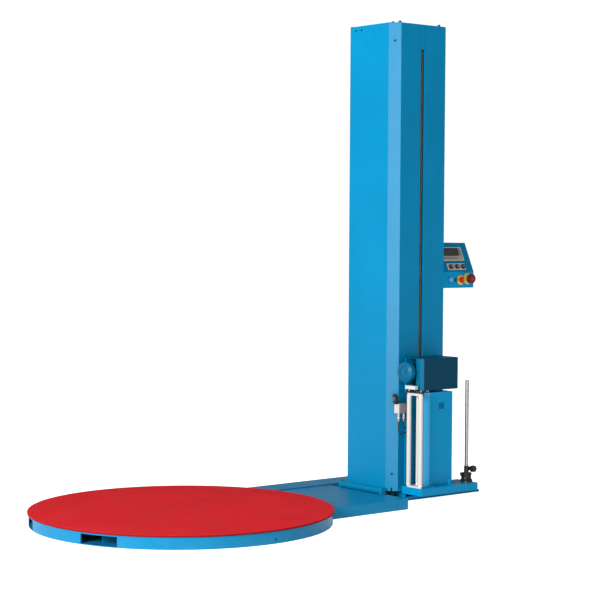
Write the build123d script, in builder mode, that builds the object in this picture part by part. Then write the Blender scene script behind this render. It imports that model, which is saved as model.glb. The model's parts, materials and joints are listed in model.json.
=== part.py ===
"""Turntable pallet wrapper with a folding mast, a film carriage and a control console.

Millimetres, +Z up.  The origin is on the floor on the turntable's axis, +X points
from the turntable to the mast, and the film carriage hangs on the mast's -Y side.
"""
import os
from math import cos, hypot, pi, radians, sin

from build123d import *

os.makedirs("parts", exist_ok=True)

LOW = (Align.CENTER, Align.CENTER, Align.MIN)      # centred in plan, standing on z = 0

# ---------------------------------------------------------------- driving dimensions
TABLE_R = 750              # turntable plate
TABLE_TOP = 67
TABLE_T = 8
SKIRT_R = 743              # fixed ring under the plate's edge
SKIRT_T = 6
SKIRT_H = 56
SHEET_T = 4                # floor sheet
RAIL_OUT = 400             # outer face of the fork rails
RAIL_IN = 240              # inner face of the fork rails
WINDOW = (212, 392)        # fork windows in the ring, out from the middle
RAIL_WALL = 5
RAIL_START = -612
TONGUE_END = 1142          # end of the near rail and of the tray, in front of the mast
FAR_RAIL_END = 1572        # the far rail runs on beside the mast
FOOT_END = 1872            # rear end of the mast's foot
FOOT_HALF = 190
FOOT_TOP = 12
ANCHOR_X = 1820            # floor anchors behind the mast
ANCHOR_Y = 150
ANCHOR_R = 7

TRACK_R = 620              # circle that the support rollers stand on
ROLLER_R = 22
ROLLER_W = 26
ROLLER_ANGLES = (60, 120, 240, 300)
ROLLER_GAP = 0.3           # roller to plate
PIN_R = 6
RUNNING = 0.05             # radial clearance of a shaft in its bore

POST_R = 30                # turntable's centre post
CHAIN_LOW = 26             # table drive chain
CHAIN_HIGH = 32
DRIVE_X = 1300             # drive sprocket's axis
BIG_TEETH = 60
SMALL_TEETH = 16
CHAIN_PITCH = 15.875       # 5/8 inch roller chain

HINGE_X = 1178             # mast's folding axis, along Y
HINGE_Z = 61
HINGE_SHAFT_R = 12
HINGE_TUBE_R = 18.5
EAR_HALF = 16
EAR_TOP = 82

MAST_FRONT = 1205
MAST_BACK = 1572
MAST_HALF = 200
MAST_CHAMFER = 47
MAST_TOP = 2522
COVER_LOW = 60
COVER_T = 2
SLOT_LEFT = 1392
SLOT_RIGHT = 1422
SLOT_TOP = 2390
SEAM = 1.5                 # open joint between two cover sheets

COLUMN_X = 1409            # middle of the C-section column and of the slot
COLUMN_W = 182
COLUMN_NEAR = -185         # open side of the C, towards the slot
COLUMN_WEB = -100
COLUMN_T = 6
LIFT_X = 1407              # lift sprockets' axes
LIFT_LOW = 345
LIFT_HIGH = 2420
LIFT_TEETH = 13
LIFT_R = 36                # inside of the hoisting chain's wraps
LIFT_CHAIN_Y = (-150, -142)

WHEEL_R = 22               # trolley guide wheels
WHEEL_Y = (-176, -158)
WHEEL_ZS = (450, 670)

CHANNEL_NEAR = -400        # carriage's base channel
CHANNEL_FAR = -244
CHANNEL_LEFT = 1240
CHANNEL_RIGHT = 1645
CHANNEL_LOW = 56
CHANNEL_TOP = 95
BACK_NEAR = -214           # carriage's back plate
BACK_FAR = -208
BODY_NEAR = -351
BODY_TOP = 588
HEAD_LOW = 600
HEAD_TOP = 767
HEAD_LEFT = 1278
HEAD_RIGHT = 1538
HEAD_CUT = 16              # bevelled corner of the hood
FILM_ROLLER_R = 12
SHAFT_R = 5                # film rollers' shafts
GEAR_MODULE = 2.5
GEAR_A_TEETH = 12
GEAR_B_TEETH = 28
GEAR_SPAN = GEAR_MODULE * (GEAR_A_TEETH + GEAR_B_TEETH) / 2
MESH_ANGLE = -29.5         # direction from roller A to roller B, in plan
ROLLER_A = (1250, -285)    # fast pre-stretch roller
ROLLER_B = (                # slow pre-stretch roller
    ROLLER_A[0] + GEAR_SPAN * cos(radians(MESH_ANGLE)),
    ROLLER_A[1] + GEAR_SPAN * sin(radians(MESH_ANGLE)),
)
ROLLER_C = (1250, -374)    # idle roller
PINION = (ROLLER_B[0] + GEAR_SPAN, ROLLER_B[1])
GEAR_Z = (590, 598)
SPINDLE = (1607, -352)
SPINDLE_R = 10
SPINDLE_TOP = 640
HUB_LOW = 99
HUB_TOP = 146
COLLAR_TOP = 182           # clamp collar of the film brake
KNOB = (1636, 166)         # brake knob's axis, along Y
KNOB_Y = (-384, -363)
LEAD_STARTS = ((1221, -236), (1257, -236))

CONSOLE_LEFT = MAST_BACK
CONSOLE_RIGHT = 1898
CONSOLE_NEAR = -100
CONSOLE_FAR = 150
CONSOLE_LOW = 1122
CONSOLE_BEND = 1211
CONSOLE_TOP = 1369
CONSOLE_TOP_NEAR = -28
PANEL_T = 3
CAP_R = 11                 # round push buttons


def write(piece, name):
    """Label a finished piece and write it as its own STEP file."""
    piece.part.label = name
    export_step(piece.part, f"parts/{name}.step")


def ring_spot(radius, angle, z=0):
    """A frame on a circle round the origin, its x axis pointing outwards."""
    return Location((radius * cos(radians(angle)), radius * sin(radians(angle)), z), (0, 0, angle))


def span_box(x, y, z):
    """A box given by its (low, high) pair along each axis, in the open part builder."""
    with Locations(((x[0] + x[1]) / 2, (y[0] + y[1]) / 2, z[0])):
        return Box(x[1] - x[0], y[1] - y[0], z[1] - z[0], align=LOW)


def cut_box(x, y, z):
    """The same box, cut out of the open part builder."""
    with Locations(((x[0] + x[1]) / 2, (y[0] + y[1]) / 2, z[0])):
        return Box(x[1] - x[0], y[1] - y[0], z[1] - z[0], align=LOW, mode=Mode.SUBTRACT)


def gear_outline(pitch_r, teeth, depth):
    """A flat gear outline with straight-sided teeth, thinner than their gaps."""
    root = pitch_r - depth * 0.55
    tip = pitch_r + depth * 0.45
    pitch = 2 * pi * pitch_r / teeth
    with BuildSketch(Plane.XY) as tooth:
        with BuildLine():
            Polyline(
                (root - 1, -pitch * 0.21), (tip, -pitch * 0.11),
                (tip, pitch * 0.11), (root - 1, pitch * 0.21), close=True,
            )
        make_face()
    with BuildSketch(Plane.XY) as outline:
        Circle(root)
        with PolarLocations(0, teeth):
            add(tooth.sketch)
    return outline.sketch


# ================================================================= fixed base
with BuildPart() as base_plate:
    # one floor sheet: the disc under the turntable, the tongue and the mast's foot
    with BuildSketch():
        Circle(SKIRT_R - SKIRT_T)
        with Locations((TONGUE_END / 2, 0)):
            Rectangle(TONGUE_END, 2 * RAIL_OUT)
        with Locations(((TONGUE_END + FOOT_END) / 2, 0)):
            Rectangle(FOOT_END - TONGUE_END, 2 * FOOT_HALF)
        with Locations(((TONGUE_END + FAR_RAIL_END) / 2, RAIL_OUT / 2)):
            Rectangle(FAR_RAIL_END - TONGUE_END, RAIL_OUT)
        with Locations((ANCHOR_X, -ANCHOR_Y), (ANCHOR_X, ANCHOR_Y)):
            Circle(ANCHOR_R, mode=Mode.SUBTRACT)
    extrude(amount=SHEET_T)
write(base_plate, "base_plate")

with BuildPart() as base_ring:
    with BuildSketch():
        Circle(SKIRT_R)
        Circle(SKIRT_R - SKIRT_T, mode=Mode.SUBTRACT)
    extrude(amount=SKIRT_H)
    # gap where the fork rails and the tray leave the ring
    cut_box((0, SKIRT_R + 10), (-RAIL_OUT, RAIL_OUT), (-1, SKIRT_H + 1))
    # two windows for a fork lift's tines
    for side in (-1, 1):
        window = sorted((side * WINDOW[0], side * WINDOW[1]))
        cut_box((-SKIRT_R - 10, -400), window, (SHEET_T, SKIRT_H - 6))
write(base_ring, "base_ring")

with BuildPart() as fork_rails:
    # two wide channels, open downwards, that take the fork tines
    for side, end in ((-1, TONGUE_END), (1, FAR_RAIL_END)):
        outer = sorted((side * RAIL_IN, side * RAIL_OUT))
        inner = sorted((side * (RAIL_IN + RAIL_WALL), side * (RAIL_OUT - RAIL_WALL)))
        span_box((RAIL_START, end), outer, (SHEET_T, SKIRT_H))
        cut_box((RAIL_START - 1, end - RAIL_WALL), inner, (SHEET_T - 1, SKIRT_H - RAIL_WALL))
write(fork_rails, "fork_rails")

TRAY_TOP = 50
with BuildPart() as tray_cover:
    # lid over the drive chain, with its two long edges folded down
    span_box((640, TONGUE_END), (-RAIL_IN, RAIL_IN), (SHEET_T, TRAY_TOP))
    cut_box((639, TONGUE_END + 1), (-RAIL_IN + 3, RAIL_IN - 3), (SHEET_T - 1, TRAY_TOP - 3))
write(tray_cover, "tray_cover")

with BuildPart() as mast_foot_plate:
    # thick plate that carries the mast, with the two ears of the fold hinge
    span_box((1000, FOOT_END), (-FOOT_HALF + 5, FOOT_HALF - 5), (SHEET_T, FOOT_TOP))
    for ear in ((-167, -155), (162, 174)):
        span_box((HINGE_X - EAR_HALF, HINGE_X + EAR_HALF), ear, (FOOT_TOP, EAR_TOP))
    fillet(mast_foot_plate.edges().filter_by(Axis.Y).group_by(Axis.Z)[-1], 8)
    with Locations((HINGE_X, 0, HINGE_Z)):
        Cylinder(HINGE_SHAFT_R, 2 * MAST_HALF, rotation=(90, 0, 0), mode=Mode.SUBTRACT)
    # floor anchor holes behind the mast
    with Locations((ANCHOR_X, -ANCHOR_Y, FOOT_TOP), (ANCHOR_X, ANCHOR_Y, FOOT_TOP)):
        Hole(ANCHOR_R, depth=FOOT_TOP)
write(mast_foot_plate, "mast_foot_plate")

with BuildPart() as hinge_shaft:
    with BuildSketch(Plane.XZ.offset(169)):
        with Locations((HINGE_X, HINGE_Z)):
            Circle(HINGE_SHAFT_R)
    extrude(amount=-345)
    chamfer(hinge_shaft.edges().filter_by(GeomType.CIRCLE), 1.5)
write(hinge_shaft, "hinge_shaft")

with BuildPart() as centre_post:
    with Locations((0, 0, SHEET_T)):
        Cylinder(100, 6, align=LOW)
    with Locations((0, 0, SHEET_T)):
        Cylinder(POST_R, 44, align=LOW)
    chamfer(centre_post.edges().filter_by(GeomType.CIRCLE).sort_by(Axis.Z)[-1], 2)
write(centre_post, "centre_post")

PLATE_LOW = TABLE_TOP - TABLE_T
AXLE_Z = PLATE_LOW - ROLLER_GAP - ROLLER_R
with BuildPart() as roller_brackets:
    # a forked bracket and its axle pin under each support roller
    with Locations(*[ring_spot(TRACK_R, angle) for angle in ROLLER_ANGLES]):
        with Locations((0, 0, SHEET_T)):
            Box(56, 44, 4, align=LOW)
        with Locations((-22, 0, SHEET_T), (22, 0, SHEET_T)):
            Box(6, 36, 42, align=LOW)
        with Locations((0, 0, AXLE_Z)):
            Cylinder(PIN_R, 56, rotation=(0, 90, 0))
write(roller_brackets, "roller_brackets")

for index, angle in enumerate(ROLLER_ANGLES, start=1):
    spot = ring_spot(TRACK_R, angle, AXLE_Z)
    outward = (cos(radians(angle)), sin(radians(angle)), 0)
    with BuildPart(Plane(origin=spot.position, x_dir=(0, 0, 1), z_dir=outward)) as support_roller:
        Cylinder(ROLLER_R, ROLLER_W)
        chamfer(support_roller.edges().filter_by(GeomType.CIRCLE), 1.5)
        Cylinder(PIN_R + RUNNING, ROLLER_W + 2, mode=Mode.SUBTRACT)
    write(support_roller, f"support_roller_{index}")

GEARBOX_BASE = 40
with BuildPart() as table_gearmotor:
    # right-angle gearbox on four posts, with its motor standing on it
    with Locations(*[(x, y, FOOT_TOP) for x in (1258, 1352) for y in (-70, 70)]):
        Cylinder(7, GEARBOX_BASE - FOOT_TOP, align=LOW)
    span_box((1246, 1364), (-80, 80), (GEARBOX_BASE, GEARBOX_BASE + 8))
    span_box((1250, 1350), (-52, 52), (GEARBOX_BASE + 8, 130))
    fillet(table_gearmotor.edges().filter_by(Axis.Z).group_by(Axis.Z)[-1], 8)
    with Locations((DRIVE_X, 0, 130)):
        Cylinder(45, 20, align=LOW)
    with Locations((DRIVE_X, 0, 150)):
        Cylinder(56, 120, align=LOW)
    with Locations((DRIVE_X, 0, 270)):
        Cylinder(60, 50, align=LOW)
    with Locations((DRIVE_X, 0, GEARBOX_BASE - 1)):
        Cylinder(10 + RUNNING, 31, align=LOW, mode=Mode.SUBTRACT)
write(table_gearmotor, "table_gearmotor")

BIG_R = CHAIN_PITCH / (2 * sin(pi / BIG_TEETH))
SMALL_R = CHAIN_PITCH / (2 * sin(pi / SMALL_TEETH))
with BuildPart() as drive_chain:
    # the chain's two runs and wraps, as one band round both sprockets
    with BuildSketch(Plane.XY.offset(CHAIN_LOW)):
        for radius_add, mode in ((12, Mode.ADD), (4, Mode.SUBTRACT)):
            with BuildSketch(mode=Mode.PRIVATE) as loop:
                Circle(BIG_R + radius_add)
                with Locations((DRIVE_X, 0)):
                    Circle(SMALL_R + radius_add)
                make_hull()
            add(loop.sketch, mode=mode)
    extrude(amount=CHAIN_HIGH - CHAIN_LOW)
write(drive_chain, "drive_chain")

small_teeth = gear_outline(SMALL_R, SMALL_TEETH, 7)
with BuildPart() as drive_sprocket:
    with BuildSketch(Plane.XY.offset(CHAIN_LOW)):
        with Locations((DRIVE_X, 0)):
            add(small_teeth)
    extrude(amount=CHAIN_HIGH - CHAIN_LOW)
    with Locations((DRIVE_X, 0, CHAIN_LOW - 8)):
        Cylinder(22, CHAIN_HIGH - CHAIN_LOW + 12, align=LOW)
    with Locations((DRIVE_X, 0, CHAIN_LOW - 8)):
        Cylinder(10, 50, align=LOW)
write(drive_sprocket, "drive_sprocket")

with BuildPart() as base_screws:
    # screws in the skirt, in the rails and through the tray, and the foot's bolts
    for side in (-1, 1):
        with BuildSketch(Plane.XZ.offset(-side * SKIRT_R)):
            with Locations((4, 20)):
                Circle(5)
        extrude(amount=-side * 2.5)
    with Locations(*[(x, y, TRAY_TOP) for x in (800, 1110) for y in (-225, 225)]):
        Cylinder(6, 3, align=LOW)
    bolts = [(x, y) for x in (1640, 1740) for y in (-150, 150)]
    with BuildSketch(Plane.XY.offset(FOOT_TOP)):
        with Locations(*bolts):
            Circle(12)
    extrude(amount=2)
    with BuildSketch(Plane.XY.offset(FOOT_TOP + 2)):
        with Locations(*bolts):
            RegularPolygon(10, 6)
    extrude(amount=8)
write(base_screws, "base_screws")

# ================================================================= turntable
SCREW_CIRCLE = 125
with BuildPart() as turntable_plate:
    with Locations((0, 0, PLATE_LOW)):
        Cylinder(TABLE_R, TABLE_T, align=LOW)
    chamfer(turntable_plate.edges().filter_by(GeomType.CIRCLE).sort_by(Axis.Z)[-1], 1)
    with Locations((0, 0, TABLE_TOP)):
        with PolarLocations(SCREW_CIRCLE, 6, start_angle=12):
            CounterSinkHole(5.5, 11, depth=TABLE_T)
write(turntable_plate, "turntable_plate")

with BuildPart() as turntable_hub:
    # flange under the plate and a boss that turns on the centre post
    with BuildSketch(Plane.XZ):
        with BuildLine():
            Polyline(
                (POST_R + RUNNING, 12), (60, 12), (60, CHAIN_LOW), (50, CHAIN_LOW),
                (50, 50), (150, 50), (150, PLATE_LOW), (0, PLATE_LOW), (0, 50),
                (POST_R + RUNNING, 50), close=True,
            )
        make_face()
    revolve(axis=Axis.Z)
    with Locations((0, 0, PLATE_LOW)):
        with PolarLocations(SCREW_CIRCLE, 6, start_angle=12):
            Hole(5, depth=9)
write(turntable_hub, "turntable_hub")

big_teeth = gear_outline(BIG_R, BIG_TEETH, 7)
with BuildPart() as ring_sprocket:
    with BuildSketch(Plane.XY.offset(CHAIN_LOW)):
        add(big_teeth)
        Circle(50, mode=Mode.SUBTRACT)
        with PolarLocations(92, 6):
            Circle(26, mode=Mode.SUBTRACT)
    extrude(amount=CHAIN_HIGH - CHAIN_LOW)
write(ring_sprocket, "ring_sprocket")

with BuildPart() as plate_screws:
    # countersunk screws that hold the plate to its hub
    with BuildSketch(Plane.XZ):
        with BuildLine():
            Polyline((0, 52), (5, 52), (5, 61), (10.4, 66.4), (10.4, 66.8), (0, 66.8), close=True)
        make_face()
    revolve(axis=Axis.Z)
    screw = plate_screws.part
with BuildPart() as plate_screws:
    with PolarLocations(SCREW_CIRCLE, 6, start_angle=12):
        add(screw)
write(plate_screws, "plate_screws")

# ================================================================= mast
COLUMN_LEFT = COLUMN_X - COLUMN_W / 2
COLUMN_RIGHT = COLUMN_X + COLUMN_W / 2
FRAME_LOW = FOOT_TOP
FRAME_TOP = 2500
with BuildPart() as mast_frame:
    # two shoes and a rear bar, open in front for the drive chain and the gearmotor
    span_box((1212, 1565), (-195, -90), (FRAME_LOW, FRAME_LOW + 8))
    span_box((1212, 1565), (90, 195), (FRAME_LOW, FRAME_LOW + 8))
    span_box((1515, 1565), (-90, 90), (FRAME_LOW, FRAME_LOW + 8))
    # C-section column that guides the trolley, open towards the slot
    span_box((COLUMN_LEFT, COLUMN_RIGHT), (COLUMN_NEAR, COLUMN_WEB), (FRAME_LOW + 8, FRAME_TOP))
    cut_box(
        (COLUMN_LEFT + COLUMN_T, COLUMN_RIGHT - COLUMN_T),
        (COLUMN_NEAR - 1, COLUMN_WEB - COLUMN_T), (FRAME_LOW + 8, FRAME_TOP + 1),
    )
    # plain post on the far side, and the ties between the two
    span_box((1330, 1490), (115, 185), (FRAME_LOW + 8, FRAME_TOP))
    cut_box((1335, 1485), (120, 186), (FRAME_LOW + 8, FRAME_TOP + 1))
    for tie_z in (480, 1010, 1540, 2070):
        span_box((1478, 1490), (COLUMN_WEB, 115), (tie_z, tie_z + 60))
    # hinge tube with a gusset down to each shoe
    with BuildSketch(Plane.XZ.offset(154.5)):
        with Locations((HINGE_X, HINGE_Z)):
            Circle(HINGE_TUBE_R)
    extrude(amount=-316)
    for gusset in ((-118, -108), (108, 118)):
        with BuildSketch(Plane.XZ.offset(-gusset[1])):
            with BuildLine():
                Polyline(
                    (HINGE_X, HINGE_Z + 10), (HINGE_X, HINGE_Z - 10), (1212, FRAME_LOW),
                    (1280, FRAME_LOW), (1280, FRAME_LOW + 8), (1215, HINGE_Z - 6), close=True,
                )
            make_face()
        extrude(amount=gusset[1] - gusset[0])
    with Locations((HINGE_X, 0, HINGE_Z)):
        Cylinder(HINGE_SHAFT_R + RUNNING, 400, rotation=(90, 0, 0), mode=Mode.SUBTRACT)
    # stub shaft of the lower chain sprocket, and the hole for the upper one
    with Locations((LIFT_X, (COLUMN_WEB - 154) / 2, LIFT_LOW)):
        Cylinder(8, 154 + COLUMN_WEB, rotation=(90, 0, 0))
    with Locations((LIFT_X, COLUMN_WEB, LIFT_HIGH)):
        Cylinder(16, 20, rotation=(90, 0, 0), mode=Mode.SUBTRACT)
write(mast_frame, "mast_frame")


def mast_outline(grow=0):
    """The mast's closed plan outline, moved in or out by grow, in the open line builder."""
    front = MAST_FRONT - grow
    back = MAST_BACK + grow
    half = MAST_HALF + grow
    cut = MAST_CHAMFER + grow * 0.586
    Polyline(
        (front, half - cut), (front + cut, half), (back, half), (back, -half),
        (front + cut, -half), (front, cut - half), close=True,
    )


def mast_shell(low, high):
    """The thin wall of the mast's outline, in the open part builder."""
    with BuildSketch(Plane.XY.offset(low)) as wall:
        with BuildLine():
            mast_outline()
        make_face()
        with BuildLine():
            mast_outline(-COVER_T)
        make_face(mode=Mode.SUBTRACT)
    extrude(wall.sketch, amount=high - low)


COVER_TOP = MAST_TOP - 4
SPLIT_X = 1408             # joint of the two covers on the far side
with BuildPart() as front_cover:
    mast_shell(COVER_LOW, COVER_TOP)
    cut_box((SPLIT_X, MAST_BACK + 5), (0, MAST_HALF + 5), (0, 3000))
    cut_box((SLOT_RIGHT, MAST_BACK + 5), (-MAST_HALF - 5, 0), (0, 3000))
    # the slot, with its edge folded inwards, and the joints that run on above it
    cut_box((SLOT_LEFT, SLOT_RIGHT + 1), (-MAST_HALF - 5, 0), (0, SLOT_TOP))
    span_box((SLOT_LEFT - 2, SLOT_LEFT), (-MAST_HALF, -188), (COVER_LOW, SLOT_TOP))
    cut_box((SLOT_RIGHT - SEAM, SLOT_RIGHT + 1), (-MAST_HALF - 5, 0), (0, 3000))
    cut_box((SLOT_LEFT - SEAM, SLOT_LEFT), (-MAST_HALF - 5, 1 - MAST_HALF), (SLOT_TOP + 3, 3000))
    # notch for the mast's locking bolt, at the foot of the near bevel
    with Locations(Location((MAST_FRONT + 24, 24 - MAST_HALF, COVER_LOW - 1), (0, 0, 45))):
        Box(30, 7, 19, align=LOW, mode=Mode.SUBTRACT)
write(front_cover, "front_cover")

with BuildPart() as rear_cover:
    mast_shell(COVER_LOW, COVER_TOP)
    cut_box((MAST_FRONT - 5, SPLIT_X), (0, MAST_HALF + 5), (0, 3000))
    cut_box((MAST_FRONT - 5, SLOT_RIGHT), (-MAST_HALF - 5, 0), (0, 3000))
    span_box((SLOT_RIGHT, SLOT_RIGHT + 2), (-MAST_HALF, -188), (COVER_LOW, COVER_TOP))
    # cable opening into the console
    cut_box((MAST_BACK - 10, MAST_BACK + 10), (20, 80), (1200, 1260))
write(rear_cover, "rear_cover")

with BuildPart() as top_cap:
    with BuildSketch(Plane.XY.offset(COVER_TOP)):
        with BuildLine():
            mast_outline()
        make_face()
    extrude(amount=MAST_TOP - COVER_TOP)
write(top_cap, "top_cap")

with BuildPart() as lift_gearmotor:
    # worm gearbox on the column's web, with its motor towards the far side
    span_box((LIFT_X - 52, LIFT_X + 52), (COLUMN_WEB, -15), (LIFT_HIGH - 50, LIFT_HIGH + 50))
    fillet(lift_gearmotor.edges().filter_by(Axis.Y), 12)
    for low, high, radius in ((-15, 0, 45), (0, 80, 52), (80, 108, 56)):
        with Locations((LIFT_X, (low + high) / 2, LIFT_HIGH)):
            Cylinder(radius, high - low, rotation=(90, 0, 0))
    with Locations((LIFT_X, COLUMN_WEB, LIFT_HIGH)):
        Cylinder(10 + RUNNING, 100, rotation=(90, 0, 0), mode=Mode.SUBTRACT)
write(lift_gearmotor, "lift_gearmotor")

with BuildPart() as lift_chain:
    # the hoisting chain's two runs and wraps, as one band
    with BuildSketch(Plane.XZ.offset(-LIFT_CHAIN_Y[1])):
        middle = (LIFT_LOW + LIFT_HIGH) / 2
        with Locations((LIFT_X, middle)):
            SlotCenterToCenter(LIFT_HIGH - LIFT_LOW, 2 * (LIFT_R + 13), rotation=90)
            SlotCenterToCenter(
                LIFT_HIGH - LIFT_LOW, 2 * (LIFT_R + 0.5), rotation=90, mode=Mode.SUBTRACT
            )
    extrude(amount=LIFT_CHAIN_Y[1] - LIFT_CHAIN_Y[0])
write(lift_chain, "lift_chain")

lift_teeth = gear_outline(CHAIN_PITCH / (2 * sin(pi / LIFT_TEETH)), LIFT_TEETH, 6)
with BuildPart() as lift_sprocket:
    with BuildSketch(Plane.XZ.offset(-LIFT_CHAIN_Y[1])):
        with Locations((LIFT_X, LIFT_HIGH)):
            add(lift_teeth)
    extrude(amount=LIFT_CHAIN_Y[1] - LIFT_CHAIN_Y[0])
    with Locations((LIFT_X, -103, LIFT_HIGH)):
        Cylinder(10, 94, rotation=(90, 0, 0))
write(lift_sprocket, "lift_sprocket")

with BuildPart() as idler_sprocket:
    with BuildSketch(Plane.XZ.offset(-LIFT_CHAIN_Y[1])):
        with Locations((LIFT_X, LIFT_LOW)):
            add(lift_teeth)
    extrude(amount=LIFT_CHAIN_Y[1] - LIFT_CHAIN_Y[0])
    with Locations((LIFT_X, -138, LIFT_LOW)):
        Cylinder(16, 24, rotation=(90, 0, 0))
    with Locations((LIFT_X, -138, LIFT_LOW)):
        Cylinder(8 + RUNNING, 60, rotation=(90, 0, 0), mode=Mode.SUBTRACT)
write(idler_sprocket, "idler_sprocket")

with BuildPart() as cover_screws:
    # front face, both chamfers, and the bolts that stand on the top edge
    for y in (107, 62):
        with BuildSketch(Plane.YZ.offset(MAST_FRONT)):
            with Locations((y, 2498)):
                Circle(5)
        extrude(amount=-2)
    for side in (-1, 1):
        corner = MAST_CHAMFER / 2
        for z in (151, 2427):
            chamfer_plane = Plane(
                origin=(MAST_FRONT + corner, side * (MAST_HALF - corner), z),
                x_dir=(0, 0, 1), z_dir=(-1, side, 0),
            )
            with BuildSketch(chamfer_plane):
                Circle(5.5)
            extrude(amount=2.5)
    with BuildSketch(Plane.XY.offset(MAST_TOP)):
        with Locations((1250, -190), (1530, -190), (1247, -139), (1250, 190), (1530, 190)):
            RegularPolygon(8, 6)
    extrude(amount=9)
write(cover_screws, "cover_screws")

# ================================================================= console
slope_rise = CONSOLE_TOP - CONSOLE_BEND
slope_run = CONSOLE_TOP_NEAR - CONSOLE_NEAR
slope_len = hypot(slope_rise, slope_run)
slope_out = (0, -slope_rise / slope_len, slope_run / slope_len)


def console_side(inset):
    """Side outline of the console, its front moved inwards by inset, as (y, z) points."""
    low_near = CONSOLE_NEAR + inset
    shift = inset * slope_len / slope_rise
    bend_z = CONSOLE_BEND + (inset - shift) * slope_rise / slope_run
    return [
        (low_near, CONSOLE_LOW), (low_near, bend_z),
        (CONSOLE_TOP_NEAR + shift, CONSOLE_TOP), (CONSOLE_FAR, CONSOLE_TOP), (CONSOLE_FAR, CONSOLE_LOW),
    ]


def upper_panel(x, up, lift=0):
    """A plane on the sloping panel, up from its bend, with its z axis pointing out."""
    y = CONSOLE_NEAR + up * slope_run / slope_len + lift * slope_out[1]
    z = CONSOLE_BEND + up * slope_rise / slope_len + lift * slope_out[2]
    return Plane(origin=(x, y, z), x_dir=(1, 0, 0), z_dir=slope_out)


def lower_panel(x, z, lift=0):
    """A plane on the upright panel, with its z axis pointing out."""
    return Plane(origin=(x, CONSOLE_NEAR - lift, z), x_dir=(1, 0, 0), z_dir=(0, -1, 0))


BUTTON_UP = 29             # row of black buttons, up the sloping panel from the bend
BUTTON_XS = (1733, 1779, 1825)
RESET_SPOT = (1717, 1168)
SWITCH_SPOT = (1798, 1166)
ESTOP_SPOT = (1850, 1172)
ESTOP_HEAD_R = 27
STEM_R = 8

with BuildPart() as console_panel:
    with BuildSketch(Plane.YZ.offset(CONSOLE_LEFT)):
        with BuildLine():
            outer = console_side(0)
            inner = console_side(PANEL_T)
            Polyline(outer[0], outer[1], outer[2], inner[2], inner[1], inner[0], close=True)
        make_face()
    extrude(amount=CONSOLE_RIGHT - CONSOLE_LEFT)
    # button holes
    for x in BUTTON_XS:
        with BuildSketch(upper_panel(x, BUTTON_UP)):
            Circle(STEM_R + 0.4)
        extrude(amount=-6, mode=Mode.SUBTRACT)
    for x, z in (RESET_SPOT, SWITCH_SPOT, ESTOP_SPOT):
        with BuildSketch(lower_panel(x, z)):
            Circle(STEM_R + 0.4)
        extrude(amount=-6, mode=Mode.SUBTRACT)
write(console_panel, "console_panel")

CONSOLE_WALL = 2.5
with BuildPart() as console_box:
    with BuildSketch(Plane.YZ.offset(CONSOLE_LEFT)):
        with BuildLine():
            Polyline(*console_side(PANEL_T), close=True)
        make_face()
    extrude(amount=CONSOLE_RIGHT - CONSOLE_LEFT)
    with BuildSketch(Plane.YZ.offset(CONSOLE_LEFT + CONSOLE_WALL)):
        with BuildLine():
            side_points = console_side(PANEL_T)
            Polyline(
                (side_points[0][0] - 1, CONSOLE_LOW + CONSOLE_WALL),
                (side_points[1][0] - 1, side_points[1][1]),
                (side_points[2][0] - 2, CONSOLE_TOP - CONSOLE_WALL),
                (CONSOLE_FAR - CONSOLE_WALL, CONSOLE_TOP - CONSOLE_WALL),
                (CONSOLE_FAR - CONSOLE_WALL, CONSOLE_LOW + CONSOLE_WALL), close=True,
            )
        make_face()
    extrude(amount=CONSOLE_RIGHT - CONSOLE_LEFT - 2 * CONSOLE_WALL, mode=Mode.SUBTRACT)
    # cable gland under the console
    with Locations((1700, 90, CONSOLE_LOW - 22)):
        Cylinder(11, 23, align=LOW)
    with Locations((1700, 90, CONSOLE_LOW - 8)):
        Cylinder(15, 8, align=LOW)
write(console_box, "console_box")

with BuildPart() as hmi_unit:
    # operator display: bezel with a sunk screen field and a row of membrane keys
    with BuildSketch(upper_panel(1753, 104)):
        RectangleRounded(186, 80, 4)
    extrude(amount=6)
    with BuildSketch(upper_panel(1745, 113, 6)):
        RectangleRounded(138, 42, 2)
    extrude(amount=-2, mode=Mode.SUBTRACT)
write(hmi_unit, "hmi_unit")

with BuildPart() as button_strip:
    with BuildSketch(upper_panel(1774, BUTTON_UP)):
        RectangleRounded(134, 38, 3)
    extrude(amount=3)
    for x in BUTTON_XS:
        with BuildSketch(upper_panel(x, BUTTON_UP)):
            Circle(STEM_R + 0.4)
        extrude(amount=4, mode=Mode.SUBTRACT)
write(button_strip, "button_strip")

with BuildPart() as yellow_plates:
    # legend-free plates behind the main switch and the emergency stop
    for spot, radius, height in ((SWITCH_SPOT, 26, 3), (ESTOP_SPOT, 30, 9)):
        with BuildSketch(lower_panel(*spot)):
            Circle(radius)
            Circle(STEM_R + 0.4, mode=Mode.SUBTRACT)
        extrude(amount=height)
write(yellow_plates, "yellow_plates")


def push_button(plane, base, cap_r, cap_h, stem_back):
    """A cap and its stem, in the open part builder; base is the cap's underside."""
    with BuildSketch(plane.offset(base)) as cap:
        Circle(cap_r)
    extrude(cap.sketch, amount=cap_h)
    with BuildSketch(plane.offset(base)) as stem:
        Circle(STEM_R)
    extrude(stem.sketch, amount=-(base + stem_back))


BUTTON_TRAVEL = 4
for name, x in zip(("start_button", "stop_button", "pause_button"), BUTTON_XS):
    with BuildPart() as button:
        push_button(upper_panel(x, BUTTON_UP), 3 + BUTTON_TRAVEL + 0.5, CAP_R, 5, 10)
        fillet(button.edges().filter_by(GeomType.CIRCLE).sort_by(Axis.Z)[-1], 1)
    write(button, name)

with BuildPart() as reset_button:
    push_button(lower_panel(*RESET_SPOT), BUTTON_TRAVEL + 0.5, 13, 8, 10)
    fillet(reset_button.edges().filter_by(GeomType.CIRCLE).sort_by(Axis.Y)[0], 1.5)
write(reset_button, "reset_button")

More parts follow.
